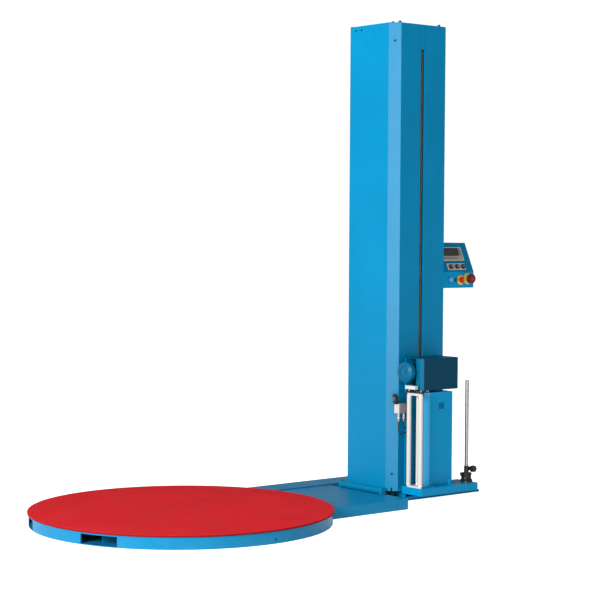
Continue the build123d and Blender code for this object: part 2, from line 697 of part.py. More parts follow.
with BuildPart() as switch_handle:
    # round boss with a gripping bar, shown in its off position
    push_button(lower_panel(*SWITCH_SPOT), 4, 17, 6, 10)
    with BuildSketch(lower_panel(*SWITCH_SPOT, lift=10)):
        SlotOverall(36, 12, rotation=90)
    extrude(amount=12)
write(switch_handle, "switch_handle")

with BuildPart() as estop_head:
    # mushroom head
    push_button(lower_panel(*ESTOP_SPOT), 9 + BUTTON_TRAVEL + 0.5, 14, 14, 12)
    with BuildSketch(lower_panel(*ESTOP_SPOT, lift=23)):
        Circle(ESTOP_HEAD_R)
    extrude(amount=20)
    fillet(estop_head.edges().filter_by(GeomType.CIRCLE).sort_by(Axis.Y)[0], 9)
write(estop_head, "estop_head")

# ================================================================= film carriage


def cut_outline(left, right, cut, back, inset):
    """A hood's plan outline with its near left corner bevelled, in the open line builder."""
    near = BODY_NEAR + inset
    left += inset
    Polyline(
        (left, back), (left, near + cut[1]), (left + cut[0], near),
        (right - inset, near), (right - inset, back), close=True,
    )


TROLLEY_Z = (420, 700)
with BuildPart() as trolley:
    # plate inside the column, its four axle pins and the arm through the slot
    span_box((COLUMN_X - 75, COLUMN_X + 75), (-132, -120), TROLLEY_Z)
    span_box((1399, 1417), (BACK_FAR, -132), (440, 680))
    wheel_xs = (COLUMN_LEFT + COLUMN_T + WHEEL_R + 0.3, COLUMN_RIGHT - COLUMN_T - WHEEL_R - 0.3)
    for x in wheel_xs:
        for z in WHEEL_ZS:
            with Locations((x, -155, z)):
                Cylinder(PIN_R, 50, rotation=(90, 0, 0))
    # clamp that grips the lifting chain's run
    span_box((1417, LIFT_X + LIFT_R - 0.5), LIFT_CHAIN_Y, (540, 580))
write(trolley, "trolley")

for number, (x, z) in enumerate([(x, z) for z in WHEEL_ZS for x in wheel_xs], start=1):
    with BuildPart() as guide_wheel:
        with Locations((x, (WHEEL_Y[0] + WHEEL_Y[1]) / 2, z)):
            Cylinder(WHEEL_R, WHEEL_Y[1] - WHEEL_Y[0], rotation=(90, 0, 0))
            Cylinder(PIN_R + RUNNING, 40, rotation=(90, 0, 0), mode=Mode.SUBTRACT)
        chamfer(guide_wheel.edges().filter_by(GeomType.CIRCLE).group_by(SortBy.LENGTH)[-1], 1.5)
    write(guide_wheel, f"guide_wheel_{number}")

with BuildPart() as carriage_frame:
    # base channel, open downwards
    span_box((CHANNEL_LEFT, CHANNEL_RIGHT), (CHANNEL_NEAR, CHANNEL_FAR), (CHANNEL_LOW, CHANNEL_TOP))
    cut_box(
        (CHANNEL_LEFT + 4, CHANNEL_RIGHT - 4), (CHANNEL_NEAR + 4, CHANNEL_FAR - 4),
        (CHANNEL_LOW - 1, CHANNEL_TOP - 4),
    )
    # shelf, back plate and head plate
    span_box((1308, 1525), (CHANNEL_FAR, BACK_NEAR), (85, 91))
    span_box((1290, 1525), (BACK_NEAR, BACK_FAR), (CHANNEL_LOW, 762))
    with BuildSketch(Plane.XY.offset(HEAD_LOW)) as head_plate:
        with BuildLine():
            cut_outline(HEAD_LEFT, HEAD_RIGHT, (HEAD_CUT, HEAD_CUT), BACK_NEAR, COVER_T)
        make_face()
        with Locations(PINION):
            Circle(8, mode=Mode.SUBTRACT)
    extrude(amount=6)
    # angle brackets at the foot of the body cover
    for x in (1345, 1483):
        span_box((x - 10, x + 10), (BODY_NEAR - 26, BODY_NEAR), (CHANNEL_TOP, CHANNEL_TOP + 4))
        span_box((x - 10, x + 10), (BODY_NEAR - 4, BODY_NEAR), (CHANNEL_TOP, CHANNEL_TOP + 30))
        with Locations((x, BODY_NEAR - 16, CHANNEL_TOP + 4)):
            Cylinder(5, 5, align=LOW)
write(carriage_frame, "carriage_frame")

BODY_LEFT = 1308
BODY_RIGHT = 1500
BODY_CUT = (29, 19)
with BuildPart() as body_cover:
    # folded sheet round the carriage's drive, closed at the top, open at the back
    with BuildSketch(Plane.XY.offset(CHANNEL_TOP)):
        with BuildLine():
            cut_outline(BODY_LEFT, BODY_RIGHT, BODY_CUT, BACK_NEAR, 0)
        make_face()
    extrude(amount=BODY_TOP - CHANNEL_TOP)
    with BuildSketch(Plane.XY.offset(CHANNEL_TOP)):
        with BuildLine():
            cut_outline(BODY_LEFT, BODY_RIGHT, BODY_CUT, BACK_NEAR, COVER_T)
        make_face()
    extrude(amount=BODY_TOP - CHANNEL_TOP - COVER_T, mode=Mode.SUBTRACT)
    # blank label plate
    span_box((1400, 1436), (BODY_NEAR - 1, BODY_NEAR), (500, 531))
write(body_cover, "body_cover")

with BuildPart() as head_cover:
    # hood over the pre-stretch drive, open behind, below and round the motor
    for inset, mode in ((0, Mode.ADD), (COVER_T, Mode.SUBTRACT)):
        with BuildSketch(Plane.XY.offset(HEAD_LOW)):
            with BuildLine():
                cut_outline(HEAD_LEFT, HEAD_RIGHT, (HEAD_CUT, HEAD_CUT), BACK_FAR + inset / 2, inset)
            make_face()
        extrude(amount=HEAD_TOP - HEAD_LOW - inset, mode=mode)
    cut_box((HEAD_LEFT - 1, HEAD_LEFT + 3), (BODY_NEAR + 44, BACK_FAR + 1), (HEAD_LOW - 1, HEAD_TOP - 2))
    cut_box((1288, 1527), (BACK_NEAR, BACK_FAR + 1), (HEAD_LOW - 1, 763))
write(head_cover, "head_cover")

MOTOR_Y = -263
MOTOR_Z = 694
FAN_X = 1225
with BuildPart() as head_motor:
    # motor lying along X, and the worm gearbox over the pinion, standing on the head plate
    for low, high, radius in ((1262, 1310, 43), (1310, 1325, 38)):
        with BuildSketch(Plane.YZ.offset(low)):
            with Locations((MOTOR_Y, MOTOR_Z)):
                Circle(radius)
        extrude(amount=high - low)
    span_box((1325, 1420), (-340, MOTOR_Y + 42), (HEAD_LOW + 6, MOTOR_Z + 45))
    with Locations((PINION[0], PINION[1], HEAD_LOW)):
        Cylinder(SHAFT_R + RUNNING, 30, align=LOW, mode=Mode.SUBTRACT)
write(head_motor, "head_motor")

with BuildPart() as fan_cover:
    # domed cowl on the motor's end, pressed with rings
    with BuildSketch(Plane.XY):
        with BuildLine():
            cowl = [(0, 0), (15, 0), (15, 3), (24, 3), (24, 0), (40, 2), (54, 12), (54, 37), (0, 37)]
            Polyline(*cowl, close=True)
        make_face()
    revolve(axis=Axis.Y)
    cowl_solid = fan_cover.part
with BuildPart() as fan_cover:
    with Locations(Location((FAN_X, MOTOR_Y, MOTOR_Z), (0, 0, -90))):
        add(cowl_solid)
write(fan_cover, "fan_cover")

YOKE_LOW = (CHANNEL_TOP, CHANNEL_TOP + 8)
YOKE_HIGH = (577, 588)
with BuildPart() as roller_yokes:
    # lower and upper plates that hold the three film rollers, and the top bearing's bar
    for low, high in (YOKE_LOW, YOKE_HIGH):
        with BuildSketch(Plane.XY.offset(low)):
            with BuildSketch(mode=Mode.PRIVATE) as web:
                with Locations(ROLLER_A, ROLLER_B, ROLLER_C):
                    Circle(10)
                make_hull()
            add(web.sketch)
        extrude(amount=high - low)
    span_box((1240, 1262), (-338, -264), (608, 626))
    span_box((1262, HEAD_LEFT), (-276, -264), (608, 626))
    with Locations(*[(x, y, CHANNEL_TOP) for x, y in (ROLLER_A, ROLLER_B, ROLLER_C)]):
        Cylinder(SHAFT_R + RUNNING, 600, align=LOW, mode=Mode.SUBTRACT)
write(roller_yokes, "roller_yokes")


def gear_disc(spot, teeth, turn):
    """A spur gear between the two levels of GEAR_Z, in the open part builder."""
    outline = gear_outline(GEAR_MODULE * teeth / 2, teeth, GEAR_MODULE * 1.8)
    with BuildSketch(Plane.XY.offset(GEAR_Z[0])) as disc:
        with Locations(Location((spot[0], spot[1], 0), (0, 0, turn))):
            add(outline)
    extrude(disc.sketch, amount=GEAR_Z[1] - GEAR_Z[0])


def film_roller(spot, shaft_top, teeth=0, turn=0):
    """A sleeve on its shaft, with a spur gear on top if it has teeth, in the part builder."""
    with Locations((spot[0], spot[1], YOKE_LOW[1] + 1)):
        Cylinder(FILM_ROLLER_R, YOKE_HIGH[0] - YOKE_LOW[1] - 2, align=LOW)
    with Locations((spot[0], spot[1], CHANNEL_TOP + 0.5)):
        Cylinder(SHAFT_R, shaft_top - CHANNEL_TOP - 0.5, align=LOW)
    if teeth:
        gear_disc(spot, teeth, turn)


# a tooth of each small gear points at a gap of the large one
GEAR_B_TURN = MESH_ANGLE + 180 + 180 / GEAR_B_TEETH
with BuildPart() as film_roller_a:
    film_roller(ROLLER_A, 620, GEAR_A_TEETH, MESH_ANGLE)
write(film_roller_a, "film_roller_a")

with BuildPart() as film_roller_b:
    film_roller(ROLLER_B, GEAR_Z[1] + 1, GEAR_B_TEETH, GEAR_B_TURN)
write(film_roller_b, "film_roller_b")

with BuildPart() as film_roller_c:
    film_roller(ROLLER_C, 604)
write(film_roller_c, "film_roller_c")

# on the +X side of the large gear, whichever way it stands, a gap faces the pinion
gap_step = 360 / GEAR_B_TEETH
nearest_gap = (GEAR_B_TURN + gap_step / 2) % gap_step
with BuildPart() as drive_pinion:
    gear_disc(PINION, GEAR_A_TEETH, 180 - nearest_gap * GEAR_B_TEETH / GEAR_A_TEETH)
    with Locations((PINION[0], PINION[1], GEAR_Z[0])):
        Cylinder(SHAFT_R, 40, align=LOW)
write(drive_pinion, "drive_pinion")


with BuildPart() as spindle:
    # upright rod for the film roll, with the clamp collar of its brake
    with Locations((SPINDLE[0], SPINDLE[1], CHANNEL_TOP)):
        Cylinder(SPINDLE_R, SPINDLE_TOP - CHANNEL_TOP, align=LOW)
    chamfer(spindle.edges().filter_by(GeomType.CIRCLE).sort_by(Axis.Z)[-1], 2)
    with Locations((SPINDLE[0], SPINDLE[1], CHANNEL_TOP)):
        Cylinder(20, 3, align=LOW)
    with Locations((SPINDLE[0], SPINDLE[1], HUB_TOP + 1)):
        Cylinder(13, COLLAR_TOP - HUB_TOP - 1, align=LOW)
    span_box((SPINDLE[0], KNOB[0] + 10), (-360, -344), (KNOB[1] - 9, KNOB[1] + 9))
    with BuildSketch(Plane.XZ.offset(343)):
        with Locations(KNOB):
            Circle(5 + RUNNING)
    extrude(amount=18, mode=Mode.SUBTRACT)
write(spindle, "spindle")

with BuildPart() as hub_body:
    with BuildSketch(Plane.XZ):
        with BuildLine():
            bore = SPINDLE_R + RUNNING
            Polyline(
                (bore, HUB_LOW), (33, HUB_LOW), (33, 107), (27, 115), (26, 124), (28, HUB_TOP),
                (bore, HUB_TOP), close=True,
            )
        make_face()
    revolve(axis=Axis.Z)
with BuildPart() as hub_wing:
    with BuildSketch(Plane.XZ.offset(-5)):
        with BuildLine():
            Polyline((20, 108), (28, 124), (36, HUB_TOP - 4), (34, HUB_TOP), (20, HUB_TOP), close=True)
        make_face()
    extrude(amount=10)
with BuildPart() as core_hub:
    # turning foot that grips the film roll's core: a disc, a waist and three wings
    with Locations((SPINDLE[0], SPINDLE[1], 0)):
        add(hub_body.part)
        with PolarLocations(0, 3, start_angle=150):
            add(hub_wing.part)
write(core_hub, "core_hub")

with BuildPart() as brake_knob:
    # lobed hand wheel that sets the film brake, on its stud
    with BuildSketch(Plane.XZ.offset(-KNOB_Y[1])):
        with Locations(KNOB):
            Circle(15)
            with PolarLocations(13.5, 6):
                Circle(5)
    extrude(amount=KNOB_Y[1] - KNOB_Y[0])
    with BuildSketch(Plane.XZ.offset(344)):
        with Locations(KNOB):
            Circle(5)
    extrude(amount=20)
write(brake_knob, "brake_knob")

with BuildPart() as height_sensor:
    # bracket, amplifier box, round photocell aimed at the load, two plug connectors
    span_box((1238, 1290), (BACK_NEAR, BACK_NEAR + 4), (440, 585))
    span_box((1210, 1262), (-252, BACK_NEAR), (478, 527))
    span_box((1194, 1216), (-240, -224), (527, 548))
    with BuildSketch(Plane(origin=(1205, -232, 559), z_dir=(-0.98, 0.19, 0))):
        Circle(21)
    extrude(amount=13)
    with Locations(*[(x, y, 448) for x, y in LEAD_STARTS]):
        Cylinder(8, 30, align=LOW)
    with Locations(*[(x, y, 435) for x, y in LEAD_STARTS]):
        Cylinder(5, 13, align=LOW)
write(height_sensor, "height_sensor")

LEAD_D = 6
with BuildPart() as sensor_leads:
    # two leads that loop from the connectors into the body cover
    for (x, y), low in zip(LEAD_STARTS, (370, 396)):
        with BuildLine() as route:
            FilletPolyline(
                (x, y, 435), (x, y, low + 14), (x + 16, y, low - 3), (BODY_LEFT - 12, y, low + 8),
                (BODY_LEFT, y, low + 8), radius=12,
            )
        with BuildSketch(Plane(origin=(x, y, 435), z_dir=(0, 0, -1))):
            Circle(LEAD_D / 2)
        sweep(path=route.line)
write(sensor_leads, "sensor_leads")
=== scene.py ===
"""Looks of the turntable pallet wrapper: paint, rubber, metal and small parts on its CAD frame."""
import json
from math import asin, cos, pi, radians, sin

import bmesh
import bpy
from mathutils import Matrix, Vector

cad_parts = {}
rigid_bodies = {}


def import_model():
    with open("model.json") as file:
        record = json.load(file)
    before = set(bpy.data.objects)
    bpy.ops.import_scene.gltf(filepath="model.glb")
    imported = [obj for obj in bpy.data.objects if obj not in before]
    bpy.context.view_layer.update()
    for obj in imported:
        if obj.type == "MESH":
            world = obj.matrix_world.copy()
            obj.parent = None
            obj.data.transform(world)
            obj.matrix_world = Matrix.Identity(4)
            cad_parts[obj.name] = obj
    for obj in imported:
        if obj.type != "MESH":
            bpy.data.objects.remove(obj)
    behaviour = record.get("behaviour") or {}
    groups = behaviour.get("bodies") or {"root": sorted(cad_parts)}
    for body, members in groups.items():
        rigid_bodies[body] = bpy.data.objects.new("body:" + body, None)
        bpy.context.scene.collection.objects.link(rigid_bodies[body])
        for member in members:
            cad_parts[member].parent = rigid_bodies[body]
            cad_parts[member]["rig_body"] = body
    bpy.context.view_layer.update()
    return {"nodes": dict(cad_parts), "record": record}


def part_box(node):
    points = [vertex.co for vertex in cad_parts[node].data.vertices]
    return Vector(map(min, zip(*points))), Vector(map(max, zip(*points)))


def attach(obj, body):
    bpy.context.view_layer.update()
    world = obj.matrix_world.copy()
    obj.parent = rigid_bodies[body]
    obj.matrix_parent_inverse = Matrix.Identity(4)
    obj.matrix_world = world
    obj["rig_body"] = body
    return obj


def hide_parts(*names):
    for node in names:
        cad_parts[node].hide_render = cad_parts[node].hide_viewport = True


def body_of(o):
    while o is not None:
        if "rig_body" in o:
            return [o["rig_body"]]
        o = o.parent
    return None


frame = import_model()
node_slots = {row["node"]: row["material_slot"] for row in frame["record"]["subparts"]}

# ---------------------------------------------------------------- camera
CAMERA_PLACE = Vector((-4.810, -6.824, 1.435))
CAMERA_YAW = radians(39.13)
CAMERA_PITCH = radians(2.35)
CAMERA_ROLL = radians(0.33)
LENS = 102.4                   # mm
SENSOR_WIDTH = 36


def make_camera():
    """A level studio camera that looks across the turntable at the mast."""
    level = cos(CAMERA_PITCH)
    ahead = Vector((sin(CAMERA_YAW) * level, cos(CAMERA_YAW) * level, -sin(CAMERA_PITCH)))
    right = Vector((cos(CAMERA_YAW), -sin(CAMERA_YAW), 0))
    up = right.cross(ahead)
    rolled_right = right * cos(CAMERA_ROLL) + up * sin(CAMERA_ROLL)
    rolled_up = up * cos(CAMERA_ROLL) - right * sin(CAMERA_ROLL)
    turn = Matrix((rolled_right, rolled_up, -ahead)).transposed()
    data = bpy.data.cameras.new("camera")
    data.lens = LENS
    data.sensor_width = SENSOR_WIDTH
    camera = bpy.data.objects.new("camera", data)
    camera.matrix_world = Matrix.Translation(CAMERA_PLACE) @ turn.to_4x4()
    bpy.context.scene.collection.objects.link(camera)
    bpy.context.scene.camera = camera


make_camera()


# ---------------------------------------------------------------- light and floor
SKY_STRENGTH = 0.26            # the surround, as the machine sees it
BACKDROP_STRENGTH = 1.05       # the surround, as the camera sees it
FLOOR_HALF = 30
FLOOR_GLOW = (0.45, 0.95)      # the floor's own light, as the machine and as the camera see it
KEY_POWER = 1280
FILL_POWER = 170
TOP_POWER = 90


def area_light(name, place, target, size, power):
    """A rectangular softbox at place that faces target."""
    data = bpy.data.lights.new(name, "AREA")
    data.shape = "RECTANGLE"
    data.size, data.size_y = size
    data.energy = power
    light = bpy.data.objects.new(name, data)
    light.location = place
    light.rotation_euler = (Vector(target) - Vector(place)).to_track_quat("-Z", "Y").to_euler()
    bpy.context.scene.collection.objects.link(light)


def make_stage():
    """A plain pale floor, a white surround and three softboxes."""
    world = bpy.data.worlds.new("studio")
    bpy.context.scene.world = world
    world.use_nodes = True
    nodes, links = world.node_tree.nodes, world.node_tree.links
    soft = nodes["Background"]
    soft.inputs["Color"].default_value = (1, 1, 1, 1)
    soft.inputs["Strength"].default_value = SKY_STRENGTH
    backdrop = nodes.new("ShaderNodeBackground")
    backdrop.inputs["Color"].default_value = (1, 1, 1, 1)
    backdrop.inputs["Strength"].default_value = BACKDROP_STRENGTH
    seen = nodes.new("ShaderNodeMixShader")
    links.new(nodes.new("ShaderNodeLightPath").outputs["Is Camera Ray"], seen.inputs["Fac"])
    links.new(soft.outputs["Background"], seen.inputs[1])
    links.new(backdrop.outputs["Background"], seen.inputs[2])
    links.new(seen.outputs["Shader"], nodes["World Output"].inputs["Surface"])
    mesh = bpy.data.meshes.new("floor")
    corners = [(x * FLOOR_HALF, y * FLOOR_HALF, 0) for x, y in ((-1, -1), (1, -1), (1, 1), (-1, 1))]
    mesh.from_pydata(corners, [], [(0, 1, 2, 3)])
    floor = bpy.data.objects.new("floor", mesh)
    bpy.context.scene.collection.objects.link(floor)
    material = bpy.data.materials.new("floor_pale")
    material.use_nodes = True
    shader = material.node_tree.nodes["Principled BSDF"]
    shader.inputs["Base Color"].default_value = (0.75, 0.75, 0.75, 1)
    shader.inputs["Roughness"].default_value = 0.9
    shader.inputs["Specular IOR Level"].default_value = 0.0
    shader.inputs["Emission Color"].default_value = (1, 1, 1, 1)
    nodes, links = material.node_tree.nodes, material.node_tree.links
    seen = nodes.new("ShaderNodeLightPath").outputs["Is Camera Ray"]
    glow = nodes.new("ShaderNodeMapRange")
    glow.inputs["To Min"].default_value, glow.inputs["To Max"].default_value = FLOOR_GLOW
    links.new(seen, glow.inputs["Value"])
    links.new(glow.outputs["Result"], shader.inputs["Emission Strength"])
    mesh.materials.append(material)
    middle = (0.8, 0, 1.0)
    area_light("key", (-9.0, -2.2, 3.6), middle, (3.5, 3.5), KEY_POWER)
    area_light("fill", (-4.1, -6.2, 1.7), (1.25, -0.15, 1.4), (1.6, 5.0), FILL_POWER)
    area_light("top", (0.5, 0.0, 6.5), (0.5, 0, 0), (5.0, 5.0), TOP_POWER)


make_stage()
bpy.context.scene.view_settings.view_transform = "Standard"


# ---------------------------------------------------------------- materials
class Graph:
    """A material's node tree, with short calls for the nodes that the finishes share."""

    def __init__(self, name):
        self.material = bpy.data.materials.new(name)
        self.material.use_nodes = True
        self.nodes = self.material.node_tree.nodes
        self.links = self.material.node_tree.links
        self.shader = self.nodes["Principled BSDF"]
        self.place = self.nodes.new("ShaderNodeTexCoord").outputs["Object"]

    def set(self, **values):
        """Constants on the shader's own sockets; underscores stand for spaces."""
        for key, value in values.items():
            self.shader.inputs[key.replace("_", " ")].default_value = value

    def stretch(self, scale):
        """The object's coordinates, stretched by scale along each axis."""
        node = self.nodes.new("ShaderNodeMapping")
        node.inputs["Scale"].default_value = scale
        self.links.new(self.place, node.inputs["Vector"])
        return node.outputs["Vector"]

    def noise(self, scale, detail, vector=None):
        """Cloudy noise over the object, scale cells to the metre."""
        node = self.nodes.new("ShaderNodeTexNoise")
        node.inputs["Scale"].default_value = scale
        node.inputs["Detail"].default_value = detail
        self.links.new(vector or self.place, node.inputs["Vector"])
        return node.outputs["Fac"]

    def ramp(self, value, stops):
        """A colour ramp through (position, colour) stops."""
        node = self.nodes.new("ShaderNodeValToRGB")
        elements = node.color_ramp.elements
        while len(elements) < len(stops):
            elements.new(0.5)
        for element, (position, colour) in zip(elements, stops):
            element.position = position
            element.color = (*colour, 1)
        self.links.new(value, node.inputs["Fac"])
        return node.outputs["Color"]

    def span(self, value, low, high, out_low, out_high):
        """value, mapped from low..high onto out_low..out_high and held there."""
        node = self.nodes.new("ShaderNodeMapRange")
        for socket, number in zip(
            ("From Min", "From Max", "To Min", "To Max"), (low, high, out_low, out_high)
        ):
            node.inputs[socket].default_value = number
        self.links.new(value, node.inputs["Value"])
        return node.outputs["Result"]

    def math(self, kind, first, second):
        """One sum or comparison; each value is a socket or a number."""
        node = self.nodes.new("ShaderNodeMath")
        node.operation = kind
        for socket, value in zip(node.inputs, (first, second)):
            if isinstance(value, (int, float)):
                socket.default_value = value
            else:
                self.links.new(value, socket)
        return node.outputs["Value"]

    def mix(self, factor, first, second):
        """A blend, by a factor socket, of two colours; each is a socket or an (r, g, b)."""
        node = self.nodes.new("ShaderNodeMix")
        node.data_type = "RGBA"
        self.links.new(factor, node.inputs["Factor"])
        for socket, value in ((node.inputs[6], first), (node.inputs[7], second)):
            if isinstance(value, tuple):
                socket.default_value = (*value, 1)
            else:
                self.links.new(value, socket)
        return node.outputs[2]

    def split(self):
        """The object's x, y and z as three sockets."""
        node = self.nodes.new("ShaderNodeSeparateXYZ")
        self.links.new(self.place, node.inputs["Vector"])
        return node.outputs

    def bump(self, height, strength, distance):
        node = self.nodes.new("ShaderNodeBump")
        node.inputs["Strength"].default_value = strength
        node.inputs["Distance"].default_value = distance
        self.links.new(height, node.inputs["Height"])
        self.links.new(node.outputs["Normal"], self.shader.inputs["Normal"])

    def colour(self, socket):
        self.links.new(socket, self.shader.inputs["Base Color"])

    def roughness(self, socket):
        self.links.new(socket, self.shader.inputs["Roughness"])

    def gloss(self, level, band=None):
        """The coat's shine; band is (low x, high x, level) of a strip that shines more."""
        socket = self.shader.inputs["Specular IOR Level"]
        if band is None:
            socket.default_value = level
            return
        low, high, shine = band
        x = self.split()["X"]
        past_low, before_high = self.math("GREATER_THAN", x, low), self.math("LESS_THAN", x, high)
        inside = self.math("MULTIPLY", past_low, before_high)
        self.links.new(self.span(inside, 0.0, 1.0, level, shine), socket)


DECK_EDGE_Z = 0.0659           # just under the plate's top face


def shade(colour, factor):
    """A colour, made darker or lighter."""
    return tuple(min(1.0, part * factor) for part in colour)


def paint(name, colour, rough=0.3, dust=0.0, gloss=0.12, band=None):
    """Powder coat: faint blotches, orange peel, and floor dust low down."""
    graph = Graph(name)
    blotch = graph.ramp(
        graph.noise(2.2, 4), [(0.3, shade(colour, 0.94)), (0.7, shade(colour, 1.05))]
    )
    fine = graph.noise(160, 3)
    speckled = graph.mix(graph.span(fine, 0.35, 0.75, 0.0, 0.10), blotch, shade(colour, 0.82))
    if dust:
        height = graph.span(graph.split()["Z"], 0.0, 0.09, dust, 0.0)
        patches = graph.span(graph.noise(14, 5), 0.4, 0.7, 0.3, 1.0)
        patchy = graph.math("MULTIPLY", height, patches)
        speckled = graph.mix(patchy, speckled, (0.34, 0.36, 0.37))
    graph.colour(speckled)
    graph.roughness(graph.span(graph.noise(7, 4), 0.3, 0.7, rough * 0.85, rough * 1.25))
    graph.bump(graph.noise(420, 2), 0.12, 0.0004)
    graph.gloss(gloss, band)
    return graph.material


def red_deck_paint():
    """The turntable's red coat, a little rubbed, with a darker edge below its top face."""
    graph = Graph("red_deck_paint")
    base = (0.66, 0.018, 0.024)
    blotch = graph.ramp(graph.noise(3.0, 5), [(0.3, shade(base, 0.93)), (0.72, shade(base, 1.06))])
    grain = graph.span(graph.noise(260, 3), 0.35, 0.7, 0.0, 0.12)
    speckled = graph.mix(grain, blotch, shade(base, 0.7))
    streaks = graph.noise(6.0, 6, vector=graph.stretch((1.0, 9.0, 1.0)))
    rubbed = graph.mix(graph.span(streaks, 0.58, 0.75, 0.0, 0.10), speckled, (0.66, 0.05, 0.05))
    top = graph.math("GREATER_THAN", graph.split()["Z"], DECK_EDGE_Z)
    graph.colour(graph.mix(top, (0.22, 0.008, 0.012), rubbed))
    graph.roughness(graph.span(graph.noise(5, 5), 0.3, 0.7, 0.5, 0.68))
    graph.bump(graph.noise(520, 3), 0.25, 0.0005)
    graph.set(Specular_IOR_Level=0.02)
    return graph.material


def brushed(name, colour, rough=0.28):
    """Machined or drawn steel with fine level lines."""
    graph = Graph(name)
    lines = graph.noise(90, 4, vector=graph.stretch((1, 1, 30)))
    graph.colour(graph.ramp(lines, [(0.3, shade(colour, 0.72)), (0.7, shade(colour, 1.12))]))
    graph.roughness(graph.span(lines, 0.3, 0.7, rough * 0.8, rough * 1.5))
    graph.bump(lines, 0.15, 0.0002)
    graph.set(Metallic=1.0)
    return graph.material


def plastic(name, colour, rough=0.42, coat=0.0):
    """Moulded plastic with a fine spark-eroded grain and slight shade changes."""
    graph = Graph(name)
    graph.colour(graph.ramp(
        graph.noise(30, 3), [(0.3, shade(colour, 0.9)), (0.7, shade(colour, 1.08))]
    ))
    graph.roughness(graph.span(graph.noise(60, 2), 0.3, 0.7, rough * 0.85, rough * 1.2))
    graph.bump(graph.noise(350, 3), 0.2, 0.0002)
    graph.set(Coat_Weight=coat, Coat_Roughness=0.1)
    return graph.material


def rubber(name, colour, rough=0.62):
    """Matt rubber with faint turned lines and rubbed patches."""
    graph = Graph(name)
    turned = graph.noise(140, 2, vector=graph.stretch((0.4, 0.4, 6)))
    patch = graph.noise(18, 4)
    base = graph.ramp(patch, [(0.3, shade(colour, 0.93)), (0.7, shade(colour, 1.03))])
    graph.colour(graph.mix(graph.span(turned, 0.45, 0.7, 0.0, 0.18), base, shade(colour, 0.8)))
    graph.roughness(graph.span(patch, 0.3, 0.7, rough * 0.9, rough * 1.15))
    graph.bump(turned, 0.2, 0.0003)
    graph.set(Specular_IOR_Level=0.35)
    return graph.material


def zoned(name, base, zones, gloss=0.3, band=None):
    """One part in several finishes; a zone is (lows, highs, colour, metallic, rough), in metres.

    base is (colour, metallic, rough), a None in lows or highs leaves that side open, and
    later zones cover earlier ones.
    """
    graph = Graph(name)
    axes = graph.split()
    grain = graph.noise(240, 3)
    worn = graph.span(grain, 0.35, 0.7, 0.0, 0.10)
    colour = graph.mix(worn, base[0], shade(base[0], 0.8))
    metallic = graph.math("ADD", base[1], 0.0)
    rough = graph.math("ADD", base[2], 0.0)
    for lows, highs, zone_colour, zone_metallic, zone_rough in zones:
        inside = graph.math("ADD", 1.0, 0.0)
        for axis, low, high in zip(axes, lows, highs):
            if low is not None:
                inside = graph.math("MULTIPLY", inside, graph.math("GREATER_THAN", axis, low))
            if high is not None:
                inside = graph.math("MULTIPLY", inside, graph.math("LESS_THAN", axis, high))
        speckle = graph.mix(worn, zone_colour, shade(zone_colour, 0.8))
        colour = graph.mix(inside, colour, speckle)
        keep = graph.math("SUBTRACT", 1.0, inside)
        metallic, rough = (
            graph.math(
                "ADD", graph.math("MULTIPLY", old, keep), graph.math("MULTIPLY", inside, new)
            )
            for old, new in ((metallic, zone_metallic), (rough, zone_rough))
        )
    graph.colour(colour)
    graph.roughness(rough)
    graph.links.new(metallic, graph.shader.inputs["Metallic"])
    graph.bump(grain, 0.03, 0.0001)
    graph.gloss(gloss, band)
    return graph.material


BLUE = (0.0, 0.19, 0.375)
BLACK = (0.012, 0.012, 0.013)
STEEL = (0.38, 0.38, 0.38)
DARK_STEEL = (0.05, 0.05, 0.055)
WHITE = (0.50, 0.50, 0.48)
SLEEVE_LOW, SLEEVE_HIGH = 0.1035, 0.5765       # film rollers' sleeves
GEAR_TOP = 0.5985                              # film rollers' gears end here
ROLLER_WHITE = ((0.52, 0.52, 0.49), 0.0, 0.55)
ROLLER_ZONES = [
    ((None, None, SLEEVE_HIGH), (None, None, None), DARK_STEEL, 0.8, 0.35),
    ((None, None, GEAR_TOP), (None, None, None), STEEL, 1.0, 0.3),
    ((None, None, None), (None, None, SLEEVE_LOW), STEEL, 1.0, 0.3),
]
MAST_BEVEL = (1.2055, 1.2515, 0.40)            # bevelled corners: low x, high x, shine
BODY_BEVEL = (1.3085, 1.3365, 0.60)
finishes = {
    "blue_paint": paint("blue_paint", BLUE, dust=0.05),
    "dark_blue_paint": paint("dark_blue_paint", (0.0, 0.055, 0.11)),
    "red_paint": red_deck_paint(),
    "white_rubber": rubber("white_rubber", (0.86, 0.85, 0.80)),
    "white_plastic": plastic("white_plastic", (0.54, 0.54, 0.52)),
    "steel": brushed("steel", (0.52, 0.52, 0.51)),
    "zinc": brushed("zinc", (0.55, 0.56, 0.60), rough=0.35),
    "chain_steel": plastic("chain_steel", (0.36, 0.34, 0.30), rough=0.38),
    "motor_paint": paint("motor_paint", (0.09, 0.10, 0.11), rough=0.4, gloss=0.3),
    "black_plastic": plastic("black_plastic", (0.02, 0.02, 0.021), rough=0.4),
    "nylon": plastic("nylon", (0.70, 0.68, 0.60), rough=0.5),
    "grey_plastic": plastic("grey_plastic", (0.36, 0.34, 0.33), rough=0.5),
    "yellow_plastic": plastic("yellow_plastic", (1.0, 0.76, 0.09), rough=0.35, coat=0.2),
    "red_plastic": plastic("red_plastic", (0.72, 0.035, 0.02), rough=0.3, coat=0.3),
    "lamp_blue": plastic("lamp_blue", (0.12, 0.42, 0.80), rough=0.2, coat=0.5),
    "cable_rubber": rubber("cable_rubber", (0.016, 0.016, 0.017), rough=0.5),
}
